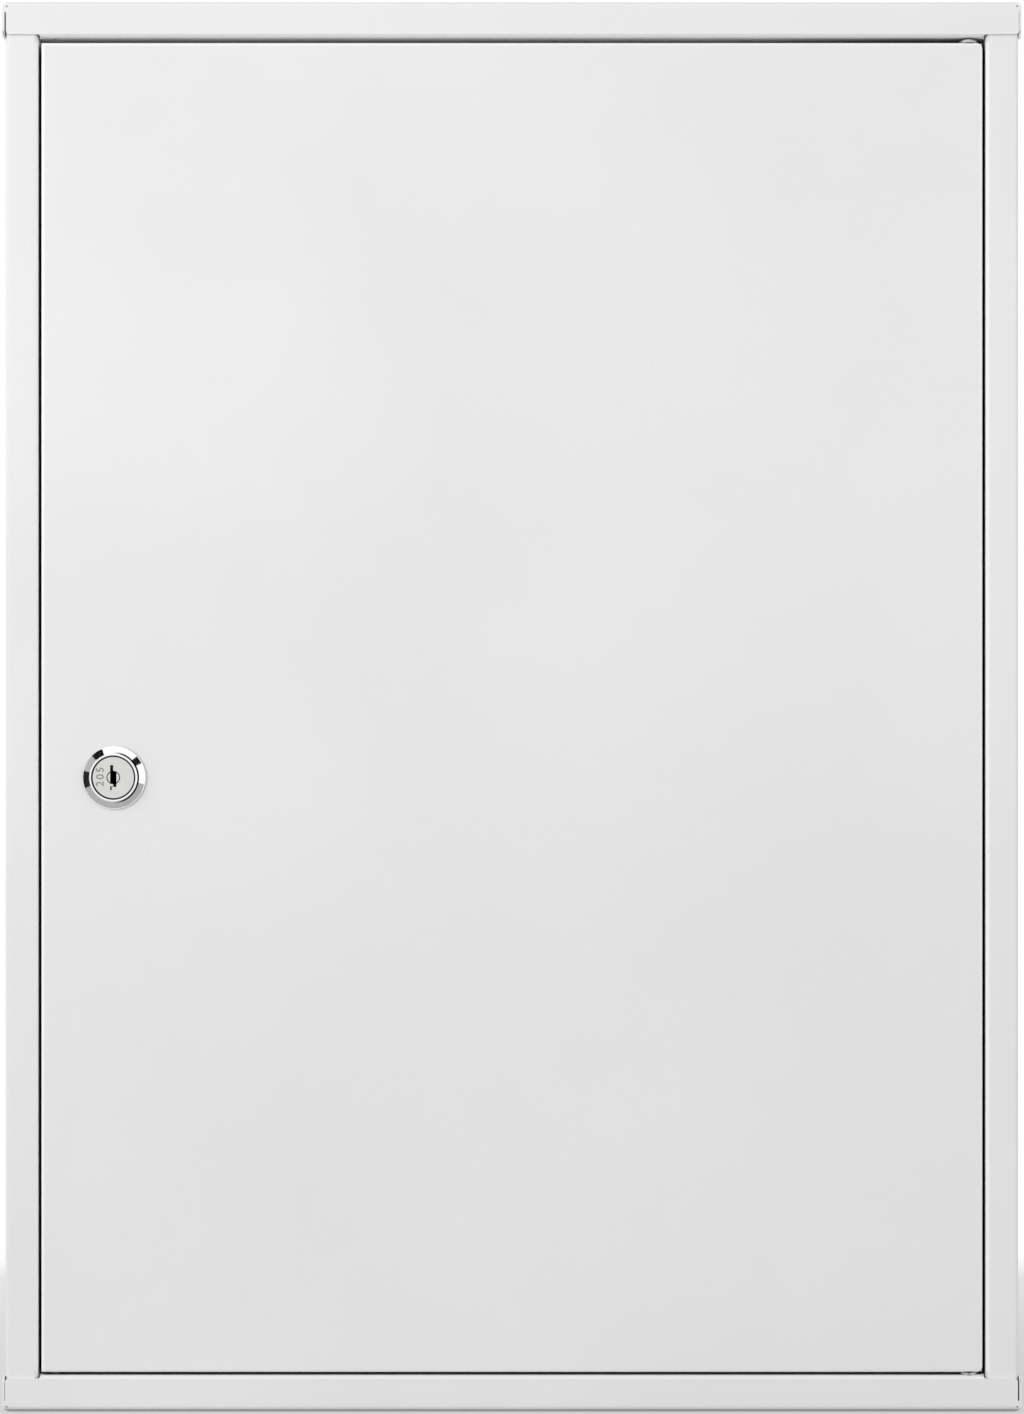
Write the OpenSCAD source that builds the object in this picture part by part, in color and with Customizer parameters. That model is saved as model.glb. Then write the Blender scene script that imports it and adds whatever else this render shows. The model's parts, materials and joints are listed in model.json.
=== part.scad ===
// Lockable wall cabinet for medicines, folded from thin steel sheet.
// A one-piece wrap makes both sides and the back, two identical trays close
// the top and the bottom, and a pan-shaped door sits inside the front frame.
// Origin: middle of the four wall-fixing holes, on the back face.
// +X to the right seen from the front, the front looks along -Y, +Z is up.

/* [Cabinet] */
// Overall width, over the side flanges of the end caps
cabinet_w = 325; // [300:5:450]
// Overall height, over the end caps
cabinet_h = 450; // [420:10:600]
// Depth from the wall to the front flanges of the end caps
cabinet_d = 150; // [120:5:220]
// Thickness of the cabinet's sheet
sheet_t = 0.7; // [0.6:0.05:1]
// Outer radius of the folds in the wrap and the door frame
fold_r = 1.5; // [1.2:0.1:2]

/* [End caps] */
// Outer radius of the fold round the top of an end cap
cap_fold_r = 2.2; // [1.6:0.1:3]
// Height of the rail that an end cap makes above or below the door
cap_rail_h = 11.5; // [10:0.5:20]
// How much shorter the front flange is where it laps over a side rail
cap_lap_short = 0.9; // [0.4:0.1:2]
// How much shorter the side flanges are than the rail
cap_side_short = 0.3; // [0:0.1:2]
// Rounding of the front flange's free corners
cap_corner_r = 1; // [0.4:0.2:2]
// Slanting cut at both ends of the fold under the rail
cap_fold_cut = 0.8; // [0.4:0.1:1.2]
// Height of the rear flange, inside the back panel
cap_rear_h = 13; // [8:1:20]
// Open seam between the front flange and one side flange
cap_seam_open = 0.45; // [0.3:0.05:0.8]
// Nearly closed seam at the other end of the front flange
cap_seam_tight = 0.15; // [0.1:0.05:0.3]
// Length of the closed, dressed corner above each seam
cap_corner_h = 3.6; // [3:0.2:6]
// Play between a cap's return and the side rails
cap_return_play = 0.3; // [0.2:0.1:0.6]

/* [Door frame] */
// Width of the side rails seen from the front
rail_w = 10.5; // [9:0.5:20]
// Width of the lips that the door closes in front of
stop_lip_w = 8; // [6:0.5:10]

/* [Door] */
// Depth of the door pan
door_depth = 15; // [13:0.5:20]
// Thickness of the door's sheet
door_t = 0.8; // [0.6:0.05:1]
// Outer radius of the door's folds
door_fold_r = 1.5; // [1.2:0.1:1.8]
// Width of the inward lips along the door's two upright edges
door_lip_w = 10; // [6:0.5:12]
// Cut at the two corners on the hinge side
door_corner_cut = 1.7; // [1:0.1:2]
// Rounding of the two corners on the lock side
door_corner_r = 0.6; // [0.3:0.1:0.7]
// Gap above the door
gap_top = 1.45; // [1.2:0.05:2.5]
// Gap below the door
gap_bottom = 0.8; // [0.6:0.05:1.5]

/* [Hinge] */
// Distance of the hinge axis from the door's edge
hinge_edge = 4.3; // [4.3:0.1:7]
// Distance of the hinge axis behind the door's front face
hinge_setback = 3.5; // [3.4:0.1:4.5]
// Gap left when the door's front corner swings past the side rail
swing_play = 0.3; // [0.2:0.05:0.6]
// Gap left when the door's rear corner swings past the stop lip
stop_play = 0.5; // [0.3:0.1:1]
// Diameter of the hinge pins
pin_d = 2.4; // [2:0.1:3]
// Gap between the pins' heads and the fold beside them
pin_head_play = 0.1; // [0.05:0.05:0.3]
// Height of the pins' heads
pin_head_h = 1.2; // [0.8:0.1:2]
// Length of each pin past the door's flange
pin_tip_l = 4; // [2:0.5:6]
// Radial play of the pins in the door and the washers
pin_play = 0.05; // [0.03:0.01:0.1]
// Radial play of the staked pins in the end caps
pin_seat_play = 0.01; // [0.01:0.01:0.03]
// Diameter of the hinge washers
washer_d = 6.5; // [5.5:0.1:6.8]
// Thickness of the upper hinge washer
washer_t = 0.9; // [0.5:0.1:1]
// Running gap above the lower hinge washer
washer_play = 0.05; // [0.03:0.01:0.1]

/* [Lock] */
// Distance of the lock's axis from the door's free edge
lock_edge = 23.5; // [21.5:0.1:40]
// Distance of the lock's axis below the door's middle height
lock_drop = 22.3; // [0:0.1:60]
// Width of the bezel round the barrel
bezel_lap = 0.75; // [0.5:0.05:2]
// Height of the bezel's upright edge
bezel_edge_h = 0.4; // [0.3:0.1:0.8]
// Bevel between the bezel's upright edge and its cone
bezel_bevel = 0.45; // [0.2:0.05:0.6]
// Height of the rim's upright wall above the bezel's cone
rim_wall_h = 0.5; // [0.3:0.1:0.8]
// Width of the raised rim round the plug
bezel_rim_w = 0.7; // [0.5:0.1:1.2]
// Height of the rim above the door
bezel_h = 2.5; // [1.8:0.1:3]
// Wall of the barrel at its two flats
barrel_wall = 1.25; // [1:0.05:1.6]
// Depth of the two flats on the barrel
barrel_flat_depth = 1.25; // [0.8:0.05:1.6]
// Play round the barrel in the door
barrel_play = 0.1; // [0.05:0.05:0.2]
// Diameter of the plug
plug_d = 14; // [13:0.1:14]
// Width of the step in front of the plug's rear journal
plug_step_w = 1.5; // [1:0.1:2]
// Length of the journal in the barrel
journal_l = 3; // [2:0.5:4]
// Radial running play of the plug
plug_play = 0.05; // [0.03:0.01:0.1]
// How far the plug's face lies below the rim
plug_inset = 0.3; // [0.1:0.1:0.6]
// Length of the key slot
key_slot_l = 8; // [7:0.2:9]
// Width of the key slot
key_slot_w = 2; // [1.4:0.1:2.2]
// Diameter of the ring groove in the plug's face
face_groove_d = 4; // [3:0.2:5]
// Wall of the lock nut at its flats
nut_wall = 1.5; // [1:0.25:2.5]
// Thickness of the lock nut
nut_t = 3.5; // [2.5:0.5:5]
// Thickness of the stop washer
stop_t = 1; // [0.8:0.1:1.5]
// Axial play behind the barrel
stop_gap = 0.1; // [0.05:0.05:0.2]
// Gap between the stop lip and the cam when it is locked
cam_gap = 0.5; // [0.3:0.1:1.5]
// Thickness of the cam
cam_t = 2; // [1.5:0.5:3]
// Width of the cam
cam_w = 13; // [12:0.5:16]
// How far the locked cam reaches behind the stop lip
cam_overlap = 6; // [3:0.5:8]
// Diameter of the plug's tail that carries the cam
tail_d = 8; // [7:0.1:8.5]
// Width of the tail over its flats
tail_flats = 6.5; // [6:0.1:7]
// Play of the cam and the stop washer on the tail
tail_play = 0.05; // [0.03:0.01:0.1]
// Swing of the cam from open to locked, in degrees
lock_turn = 90; // [60:5:90]

/* [Lock inside] */
// Thickness of a wafer
wafer_t = 0.8; // [0.6:0.1:1]
// Width of a wafer
wafer_w = 5; // [4.6:0.1:5.2]
// How far the wafers stay below the plug's round at both ends
wafer_sink = 0.15; // [0.1:0.05:0.4]
// Diameter of the wafer springs
spring_d = 1.1; // [0.9:0.1:1.2]
// Wire diameter of the wafer springs
spring_wire_d = 0.22; // [0.16:0.02:0.26]
// Thread diameter of the cam screw
screw_d = 4; // [3:0.5:4.5]
// Head diameter of the cam screw
screw_head_d = 8; // [7:0.5:9]
// Head height of the cam screw
screw_head_h = 2.4; // [2:0.2:3]
// Length of the cam screw under its head
screw_l = 7; // [5:0.5:7]
// Outer diameter of the spring lock washer
lock_washer_d = 7.6; // [7:0.2:9]
// Thickness of the spring lock washer
lock_washer_t = 0.9; // [0.6:0.1:1.2]

/* [Shelves] */
// Thickness of the shelves' sheet
shelf_t = 0.8; // [0.6:0.05:1]
// Clear depth between the lock's tail and the front of the shelves
shelf_clear = 7; // [4:1:20]
// Play between a shelf and each side wall
shelf_play = 0.5; // [0.3:0.1:1]
// Play between a shelf and the back panel
shelf_back_play = 1.5; // [1:0.5:3]
// Height of the down-turned front lip
shelf_front_h = 12; // [8:1:16]
// Height of the up-turned rear lip
shelf_rear_h = 10; // [6:1:16]
// Inner radius of the shelves' folds
shelf_bend = 0.7; // [0.4:0.1:1.2]
// Width of both legs of the shelf ledges
ledge_w = 12; // [8:1:16]
// Thickness of the shelf ledges
ledge_t = 0.9; // [0.7:0.05:1.1]
// Inner radius of the ledges' folds
ledge_bend = 0.6; // [0.4:0.1:1.2]
// Gap between a ledge's front end and the shelf's front lip
ledge_setback = 1.2; // [0.8:0.2:4]
// Gap between a ledge's rear end and the back panel
ledge_rear = 6; // [3:1:12]

/* [Wall fixing] */
// Diameter of the wall-fixing holes
fix_d = 7; // [4:0.5:9]
// Distance of the holes from the nearer side of the cabinet
fix_from_side = 52.5; // [30:2.5:80]
// Distance of the holes from its top or bottom
fix_from_end = 55; // [35:5:70]

/* [Hidden] */

$fn = 64;
spring_fn = 5;          // sides of the thin spring wire
spring_steps = 8;       // steps in one turn of a spring
cut = 1;                // how far a cutting shape runs past what it cuts
nibble = 0.01;          // how far a cut runs into the fold beside it
white = [0.93, 0.93, 0.92];
zinc = [0.72, 0.74, 0.76];
nickel = [0.8, 0.8, 0.82];

// Planes of the wrap and the caps
shell_x = cabinet_w / 2 - sheet_t;
shell_z = cabinet_h / 2 - cap_fold_r;
plate_z = cabinet_h / 2 - sheet_t;
fix_x = cabinet_w / 2 - fix_from_side;
fix_z = cabinet_h / 2 - fix_from_end;
cap_front_y = -cabinet_d;
face_y = cap_front_y + sheet_t;
opening_x = shell_x - rail_w;
wall_x = shell_x - sheet_t;
rail_z = cabinet_h / 2 - cap_rail_h;
lap_z = rail_z + cap_lap_short;
side_z = rail_z + cap_side_short;

// Door pan and hinge axis. The side gap follows from the swing of the corner.
hinge_in_edge = hinge_edge - door_fold_r;
front_sweep_r = norm([hinge_in_edge, hinge_setback - door_fold_r]) + door_fold_r;
gap_side = front_sweep_r - hinge_edge + swing_play;
door_x = opening_x - gap_side;
door_top = rail_z - gap_top;
door_bottom = -rail_z + gap_bottom;
door_rear_y = face_y + door_depth;
hinge_x = door_x - hinge_edge;
hinge_y = face_y + hinge_setback;
rear_sweep_r = norm([hinge_in_edge, door_depth - hinge_setback - door_fold_r]) + door_fold_r;
pin_head_d = 2 * (hinge_y - cap_front_y - fold_r - pin_head_play);

// Stop lip: its front face clears the sweep of the door's rear corner
stop_depth = hinge_setback + rear_sweep_r + stop_play;
stop_y = face_y + stop_depth;
stop_rear_y = stop_y + sheet_t;
cap_return_y = stop_y - cap_return_play;

// Lock: its diameters, and places along its axis counted from the door's front face
barrel_flats = plug_d + 2 * barrel_wall;
barrel_d = barrel_flats + 2 * barrel_flat_depth;
bezel_d = barrel_d + 2 * bezel_lap;
bezel_rim_d = plug_d + 2 * bezel_rim_w;
nut_flats = barrel_d + 2 * nut_wall;
journal_d = plug_d - 2 * plug_step_w;
lock_x = -door_x + lock_edge;
lock_z = (door_top + door_bottom) / 2 - lock_drop;
cam_front = stop_depth + sheet_t + cam_gap;
cam_rear = cam_front + cam_t;
barrel_rear = cam_front - stop_t - stop_gap;
tail_short = 0.2;       // the tail ends inside the cam, so that the screw clamps the cam
tail_rear = cam_rear - tail_short;
screw_head_front = cam_rear + lock_washer_t;
lock_rear = screw_head_front + screw_head_h;
screw_tip = screw_head_front - screw_l;
screw_end_gap = 0.3;
plug_front = -bezel_h + plug_inset;
plug_step = barrel_rear - journal_l;
cam_reach = lock_edge + gap_side - stop_lip_w + cam_overlap;

// Stop lugs behind the barrel and the tab that turns between them
lug_wall = 0.7;         // metal between the journal and the lugs
lug_edge = 0.25;        // the lugs stay this far inside the barrel's flats
lug_play = 0.2;         // radial play between the lugs and the stop washer
tab_inner_r = journal_d / 2 + lug_wall;
tab_outer_r = barrel_flats / 2 - lug_edge;
tab_angle = 30;
tab_slack = 1;
lug_start = 90 + lock_turn + tab_angle / 2 + tab_slack;
lug_angle = 180 - lock_turn - tab_angle - 2 * tab_slack;

// Wafers and their springs
wafer_count = 5;
wafer_first = 0.6;
wafer_last_wall = 1.4;  // plug left between the last wafer's place and the step
wafer_pitch = (plug_step - wafer_first - wafer_last_wall) / wafer_count;
wafer_slot_play = 0.1;
wafer_h = plug_d - 2 * wafer_sink;
wafer_window_over = 0.2;    // the middle of the window is wider than the key slot
wafer_window_w = key_slot_w + wafer_window_over;
wafer_window_h = 5.2;
wafer_side_w = 0.7;     // a narrow strip of it runs on to both ends of the slot
wafer_side_x = key_slot_w / 4;
wafer_side_h = 8.4;
wafer_steps = [0.5, -0.4, 0.1, -0.6, 0.3];
spring_side = 0.9;      // distance of a spring's axis from its wafer's edge
spring_x = wafer_w / 2 + spring_side;
spring_l = 3;
spring_turns = 4;
ear_h = 0.8;
ear_z = 0.4;
ear_room = 0.2;
key_slot_wall = 0.8;    // plug left behind the end of the key slot
key_slot_depth = plug_step - key_slot_wall;

// Shelves
shelf_front_y = face_y + lock_rear + shelf_clear;
shelf_rear_y = -sheet_t - shelf_back_play;
shelf_x = wall_x - shelf_play;
shelf_fold_r = shelf_t + shelf_bend;
ledge_fold_r = ledge_t + ledge_bend;
shelf_count = 3;
shelf_pitch = 2 * plate_z / (shelf_count + 1);

// ---- Section helpers ----

// Rectangle between two corners
module strip(x0, y0, x1, y1) {
    polygon([[x0, y0], [x1, y0], [x1, y1], [x0, y1]]);
}

// Quarter of a bent sheet; quadrant 0 faces +x +y, the rest follow anticlockwise
module bend(x, y, r, t, quadrant) {
    translate([x, y]) rotate(90 * quadrant) intersection() {
        difference() {
            circle(r = r);
            circle(r = r - t);
        }
        square(r);
    }
}

// Cutting shape that rounds one corner; sx and sy point out of the corner
module corner_cut(x, y, sx, sy, r) {
    translate([x, y]) scale([sx, sy]) difference() {
        translate([-r, -r]) square(r + cut);
        translate([-r, -r]) circle(r = r);
    }
}

// Draw an (x, z) section and run it from y0 to y1
module along_y(y0, y1) {
    translate([0, y1, 0]) rotate([90, 0, 0]) linear_extrude(height = y1 - y0) children();
}

// Draw a (y, z) section and run it from x0 to x1
module along_x(x0, x1) {
    translate([x0, 0, 0]) rotate([90, 0, 90]) linear_extrude(height = x1 - x0) children();
}

// Box between two opposite corners
module block(a, b) {
    translate(a) cube(b - a);
}

// Put a shape drawn with its axis along +Z on the lock's axis, pointing into the cabinet
module on_lock() {
    translate([lock_x, face_y, lock_z]) rotate([-90, 0, 0]) children();
}

// Round bar with two flats, as a flat shape
module double_d(d, flats) {
    intersection() {
        circle(d = d);
        square([flats, d], center = true);
    }
}

// ---- Cabinet body ----

// Half of the wrap's section, on the +X side
module wrap_half() {
    strip(0, -sheet_t, shell_x - fold_r, 0);
    bend(shell_x - fold_r, -fold_r, fold_r, sheet_t, 0);
    strip(wall_x, face_y + fold_r, shell_x, -fold_r);
    bend(shell_x - fold_r, face_y + fold_r, fold_r, sheet_t, 3);
    strip(opening_x + fold_r, face_y, shell_x - fold_r, face_y + sheet_t);
    bend(opening_x + fold_r, face_y + fold_r, fold_r, sheet_t, 2);
    strip(opening_x, face_y + fold_r, opening_x + sheet_t, stop_rear_y - fold_r);
    bend(opening_x + sheet_t - fold_r, stop_rear_y - fold_r, fold_r, sheet_t, 0);
    strip(opening_x - stop_lip_w, stop_y, opening_x + sheet_t - fold_r, stop_rear_y);
}

module side_back_shell() {
    color(white) difference() {
        translate([0, 0, -shell_z]) linear_extrude(height = 2 * shell_z) {
            wrap_half();
            mirror([1, 0]) wrap_half();
        }
        for (sx = [-1, 1], sz = [-1, 1])
            translate([sx * fix_x, 0, sz * fix_z])
                rotate([90, 0, 0]) cylinder(d = fix_d, h = 2 * cut + sheet_t, center = true);
    }
}

// Solid block with a cap's outer or inner shape, rounded along the front and both sides
module cap_form(x, y, z0, z1, r) {
    intersection() {
        along_y(y, -sheet_t) difference() {
            strip(-x, z0, x, z1);
            for (side = [-1, 1]) corner_cut(side * x, z1, side, 1, r);
        }
        along_x(-x, x) difference() {
            strip(y, z0, -sheet_t, z1);
            corner_cut(y, z1, -1, 1, r);
        }
    }
}

// Tray with the front and side flanges, open at the bottom and at the rear
module cap_tray() {
    difference() {
        cap_form(cabinet_w / 2, cap_front_y, side_z, cabinet_h / 2, cap_fold_r);
        cap_form(shell_x, face_y, side_z - cut, plate_z, cap_fold_r - sheet_t);
        block([-shell_x, cap_front_y - cut, side_z - cut], [shell_x, cut, lap_z]);
        block([-cabinet_w, -fold_r, side_z - cut], [cabinet_w, cut, plate_z]);
    }
}

// Rail over the door: the front flange goes on down and folds back
module cap_rail() {
    x = opening_x - cap_return_play;
    difference() {
        along_x(-x, x) {
            strip(cap_front_y, rail_z + fold_r, face_y, shell_z);
            bend(cap_front_y + fold_r, rail_z + fold_r, fold_r, sheet_t, 2);
            strip(cap_front_y + fold_r, rail_z, cap_return_y, rail_z + sheet_t);
        }
        for (side = [-1, 1])
            along_y(cap_front_y - cut, cap_front_y + fold_r + sheet_t)
                polygon([[side * (x - cap_fold_cut), rail_z], [side * x, rail_z + cap_lap_short],
                         [side * (x + cut), rail_z + cap_lap_short], [side * (x + cut), rail_z - cut],
                         [side * (x - cap_fold_cut), rail_z - cut]]);
    }
}

// Rear flange, flat against the inside of the back panel
module cap_rear(x) {
    y = -sheet_t;
    z = cabinet_h / 2;
    along_x(-x, x) {
        strip(y - sheet_t, z - cap_rear_h, y, z - cap_fold_r);
        bend(y - cap_fold_r, z - cap_fold_r, cap_fold_r, sheet_t, 0);
    }
}

// Seam between the front flange's end and a side flange, on the given side
module cap_seam(side, width) {
    x = shell_x - width;
    along_y(cap_front_y - cut, face_y) {
        polygon([[side * shell_x, rail_z - cut], [side * shell_x, cabinet_h / 2 - cap_corner_h],
                 [side * x, cabinet_h / 2 - cap_corner_h], [side * x, rail_z - cut]]);
        corner_cut(side * x, lap_z, side, -1, cap_corner_r);
    }
}

module cap() {
    rear_x = wall_x - fold_r;
    color(white) difference() {
        union() {
            difference() {
                cap_tray();
                block([-rear_x, -sheet_t - cap_fold_r, shell_z - cut],
                      [rear_x, cut, cabinet_h / 2 + cut]);
            }
            cap_rail();
            cap_rear(rear_x);
        }
        cap_seam(-1, cap_seam_open);
        cap_seam(1, cap_seam_tight);
        for (side = [-1, 1])
            translate([side * hinge_x, hinge_y, rail_z])
                cylinder(d = pin_d + 2 * pin_seat_play, h = 2 * cut + sheet_t, center = true);
    }
}

module top_cap() {
    cap();
}

// The same tray turned half a turn about the depth axis
module bottom_cap() {
    rotate([0, 180, 0]) cap();
}

// ---- Door ----

// Solid block with the door's outer or inner shape
module door_form(x, y0, y1, z0, z1, r) {
    intersection() {
        translate([0, 0, z0]) linear_extrude(height = z1 - z0) difference() {
            strip(-x, y0, x, y1);
            for (side = [-1, 1]) {
                corner_cut(side * x, y0, side, -1, r);
                corner_cut(side * x, y1, side, 1, r);
            }
        }
        along_x(-x, x) difference() {
            strip(y0, z0, y1, z1);
            corner_cut(y0, z1, -1, 1, r);
            corner_cut(y0, z0, -1, -1, r);
        }
    }
}

// Prism that takes off a corner on the hinge side
module corner_notch(z, up) {
    c = door_corner_cut;
    along_y(face_y - cut, face_y + door_fold_r + door_t)
        polygon([[door_x - c, z + up * cut], [door_x - c, z],
                 [door_x, z - up * c], [door_x + cut, z - up * c], [door_x + cut, z + up * cut]]);
}

module door_panel() {
    t = door_t;
    lip_x = door_x - door_lip_w;
    fold_x = door_x - door_fold_r;
    lip_relief = 2;
    relief_in = 0.2;
    color(white) difference() {
        door_form(door_x, face_y, door_rear_y, door_bottom, door_top, door_fold_r);
        door_form(door_x - t, face_y + t, door_rear_y - t, door_bottom + t, door_top - t,
                  door_fold_r - t);
        block([-lip_x, door_rear_y - t - cut, door_bottom + t], [lip_x, door_rear_y + cut, door_top - t]);
        for (side = [-1, 1], z = [door_top - t - lip_relief, door_bottom + t])
            translate([side * (lip_x + fold_x) / 2, door_rear_y, z + lip_relief / 2])
                cube([fold_x - lip_x + 2 * nibble, 2 * (t + relief_in), lip_relief], center = true);
        corner_notch(door_top, 1);
        corner_notch(door_bottom, -1);
        along_y(face_y - cut, door_rear_y + cut) {
            corner_cut(-door_x, door_top, -1, 1, door_corner_r);
            corner_cut(-door_x, door_bottom, -1, -1, door_corner_r);
        }
        for (z = [door_top, door_bottom])
            translate([hinge_x, hinge_y, z])
                cylinder(d = pin_d + 2 * pin_play, h = 2 * (t + cut), center = true);
        on_lock() translate([0, 0, -cut]) linear_extrude(height = t + 2 * cut)
            double_d(barrel_d + 2 * barrel_play, barrel_flats + 2 * barrel_play);
    }
}

// ---- Hinge ----

// Headed pin for the upper pivot, pointing down from the cap's return
module pin(gap) {
    shank = sheet_t + gap + door_t + pin_tip_l;
    tip_bevel = 0.4;
    cylinder(d = pin_head_d, h = pin_head_h);
    translate([0, 0, -shank + tip_bevel]) cylinder(d = pin_d, h = shank - tip_bevel);
    translate([0, 0, -shank]) cylinder(d1 = pin_d - 2 * tip_bevel, d2 = pin_d, h = tip_bevel);
}

module ring(d, hole, t) {
    difference() {
        cylinder(d = d, h = t);
        translate([0, 0, -cut]) cylinder(d = hole, h = t + 2 * cut);
    }
}

module top_hinge_pin() {
    color(zinc) translate([hinge_x, hinge_y, rail_z + sheet_t]) pin(gap_top);
}

module bottom_hinge_pin() {
    color(zinc) translate([hinge_x, hinge_y, -rail_z - sheet_t]) mirror([0, 0, 1]) pin(gap_bottom);
}

module top_hinge_washer() {
    color(zinc) translate([hinge_x, hinge_y, door_top])
        ring(washer_d, pin_d + 2 * pin_play, washer_t);
}

module bottom_hinge_washer() {
    color(zinc) translate([hinge_x, hinge_y, -rail_z])
        ring(washer_d, pin_d + 2 * pin_play, gap_bottom - washer_play);
}

// ---- Lock ----

// Sector of a flat ring, from angle a0 over a width of aw degrees
module ring_sector(r0, r1, a0, aw, h) {
    rotate(a0) rotate_extrude(angle = aw) translate([r0, 0]) square([r1 - r0, h]);
}

module lock_housing() {
    bore_d = plug_d + 2 * plug_play;
    journal_bore = journal_d + 2 * plug_play;
    wafer_groove_play = 0.3;
    wafer_groove_w = wafer_w + 2 * wafer_groove_play;
    wafer_groove_d = 0.8;
    rim_round = 0.2;
    color(nickel) on_lock() difference() {
        union() {
            rotate_extrude() polygon([
                [0, 0], [bezel_d / 2, 0], [bezel_d / 2, -bezel_edge_h],
                [bezel_d / 2 - bezel_bevel, -bezel_edge_h - bezel_bevel],
                [bezel_rim_d / 2, -bezel_h + rim_wall_h], [bezel_rim_d / 2, -bezel_h + rim_round],
                [bezel_rim_d / 2 - rim_round, -bezel_h], [0, -bezel_h]
            ]);
            linear_extrude(height = barrel_rear) double_d(barrel_d, barrel_flats);
            for (turned = [0, 180])
                translate([0, 0, barrel_rear])
                    ring_sector(tab_inner_r, tab_outer_r, turned + lug_start, lug_angle, stop_t);
        }
        translate([0, 0, -bezel_h - cut]) cylinder(d = bore_d, h = plug_step + bezel_h + cut);
        cylinder(d = journal_bore, h = barrel_rear + cut);
        for (side = [-1, 1])
            translate([0, side * bore_d / 2, wafer_first + wafer_count * wafer_pitch / 2])
                cube([wafer_groove_w, 2 * wafer_groove_d, wafer_count * wafer_pitch], center = true);
    }
}

module lock_nut() {
    corner_share = 1.1;     // width over the rounded corners, as a share of the flats
    color(zinc) on_lock() translate([0, 0, door_t]) difference() {
        intersection() {
            linear_extrude(height = nut_t)
                for (turn = [0, 60, 120]) rotate(turn)
                    square([nut_flats / sqrt(3), nut_flats], center = true);
            cylinder(d = corner_share * nut_flats, h = nut_t);
        }
        translate([0, 0, -cut]) cylinder(d = barrel_d + 2 * barrel_play, h = nut_t + 2 * cut);
    }
}

// Place of each wafer along the lock's axis
function wafer_place(i) = wafer_first + (i + 0.5) * wafer_pitch;

// Section of the keyway: its sides stand in where the key's blade has its own grooves
module keyway() {
    x = key_slot_w / 2;
    y = key_slot_l / 2;
    upper_l = 0.25 * key_slot_l;    // the upper end is open on the left only
    ward_y = 0.24 * key_slot_l;     // ward on the left, below the middle
    ward_h = 0.11 * key_slot_l;
    lower_l = 0.13 * key_slot_l;    // the lower end is a narrow groove on the left
    lower_w = 0.25 * key_slot_w;
    difference() {
        square([key_slot_w, key_slot_l], center = true);
        strip(0, -y - cut, x + cut, -y + upper_l);
        strip(-x - cut, ward_y, 0, ward_y + ward_h);
        strip(-x + lower_w, y - lower_l, x + cut, y + cut);
    }
}

module lock_plug() {
    groove_w = 0.3;
    groove_depth = 0.2;
    face_bevel = 0.45;
    bevel_depth = 0.6;
    slot_play = wafer_slot_play;
    pocket_side = 0.45;     // room beside a spring, across the plug
    pocket_play = 0.15;     // and along the plug
    pocket_w = spring_d + 2 * pocket_side;
    pocket_t = spring_d + 2 * pocket_play;
    pocket_top = ear_z + ear_h + ear_room;
    pocket_bottom = ear_z - spring_l;
    tail_front = barrel_rear + stop_gap / 2;
    color(nickel) on_lock() difference() {
        union() {
            translate([0, 0, plug_front])
                cylinder(d1 = plug_d - 2 * face_bevel, d2 = plug_d, h = bevel_depth);
            translate([0, 0, plug_front + bevel_depth])
                cylinder(d = plug_d, h = plug_step - plug_play - plug_front - bevel_depth);
            cylinder(d = journal_d, h = tail_front);
            linear_extrude(height = tail_rear) double_d(tail_d, tail_flats);
        }
        translate([0, 0, plug_front - cut])
            linear_extrude(height = key_slot_depth - plug_front + cut) keyway();
        translate([0, 0, plug_front - cut])
            ring(face_groove_d + groove_w, face_groove_d - groove_w, groove_depth + cut);
        for (i = [0 : wafer_count - 1]) translate([0, 0, wafer_place(i)]) {
            cube([wafer_w + 2 * slot_play, plug_d + cut, wafer_t + 2 * slot_play], center = true);
            translate([spring_x, -(pocket_top + pocket_bottom) / 2, 0])
                cube([pocket_w, pocket_top - pocket_bottom, pocket_t], center = true);
        }
        translate([0, 0, screw_tip - screw_end_gap]) cylinder(d = screw_d, h = tail_rear);
    }
}

// Sprung plates in the plug that the key lifts; each window stands at its own height
module lock_wafers() {
    color(nickel) on_lock() for (i = [0 : wafer_count - 1])
        translate([0, 0, wafer_place(i) - wafer_t / 2]) difference() {
            union() {
                intersection() {
                    cylinder(d = wafer_h, h = wafer_t);
                    translate([-wafer_w / 2, -wafer_h / 2, 0]) cube([wafer_w, wafer_h, wafer_t]);
                }
                translate([0, -ear_z - ear_h, 0]) cube([spring_x + spring_d / 2, ear_h, wafer_t]);
            }
            translate([0, wafer_steps[i], wafer_t / 2]) {
                cube([wafer_window_w, wafer_window_h, wafer_t + 2 * cut], center = true);
                translate([-wafer_side_x, 0, 0])
                    cube([wafer_side_w, wafer_side_h, wafer_t + 2 * cut], center = true);
            }
        }
}

// One turn of points round the wire at step s of the coil
function coil_ring(s, steps, r, wire_r, l) = [
    for (k = [0 : spring_fn - 1])
        let (turn = 360 * spring_turns * s / steps, a = 360 * k / spring_fn,
             out = r + wire_r * cos(a))
        [out * cos(turn), out * sin(turn), wire_r + (l - 2 * wire_r) * s / steps + wire_r * sin(a)]
];

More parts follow.
